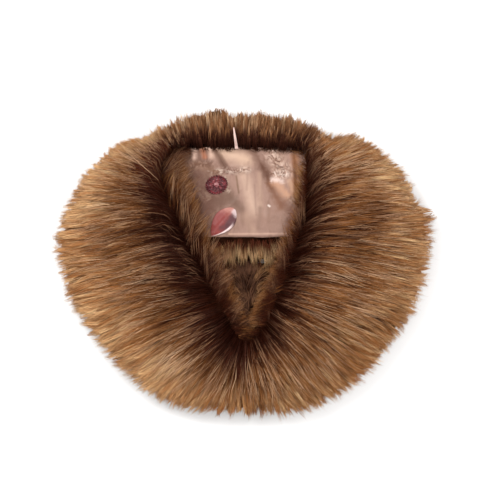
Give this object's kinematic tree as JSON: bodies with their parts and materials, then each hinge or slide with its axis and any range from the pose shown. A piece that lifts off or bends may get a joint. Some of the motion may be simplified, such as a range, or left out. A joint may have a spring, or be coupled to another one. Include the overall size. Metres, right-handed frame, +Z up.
{
  "type": "fur collar wrap",
  "caption": "Collar wrap of long-pile fur, laid flat as a ring with its fronts meeting at the centre, with a satin neck lining, a rosette and a petal patch.",
  "frame": {"origin": "on the surface the wrap lies on, under the middle of its bounding box", "axes": "+X to the picture's right across the two fronts, +Y from the hem to the back of the neck, +Z up, towards the camera"},
  "size_m": [0.4764, 0.3877, 0.0647],
  "materials": {
    "brown_fur": "long straight pile, dark at the root and golden brown at the tip",
    "dark_fur": "shorter soft pile, dark brown",
    "copper_satin": "satin weave with soft sheen",
    "wine_thread": "glossy embroidery thread",
    "rose_satin": "satin with a pale turned rim",
    "pale_ribbon": "satin ribbon"
  },
  "bodies": {
    "root": {"back_band_fur": "brown_fur", "left_front_fur": "brown_fur", "right_front_fur": "brown_fur", "neck_facing_fur": "dark_fur", "satin_lining": "copper_satin", "rosette_patch": "wine_thread", "petal_patch": "rose_satin", "hanging_loop": "pale_ribbon"}
  },
  "joints": []
}
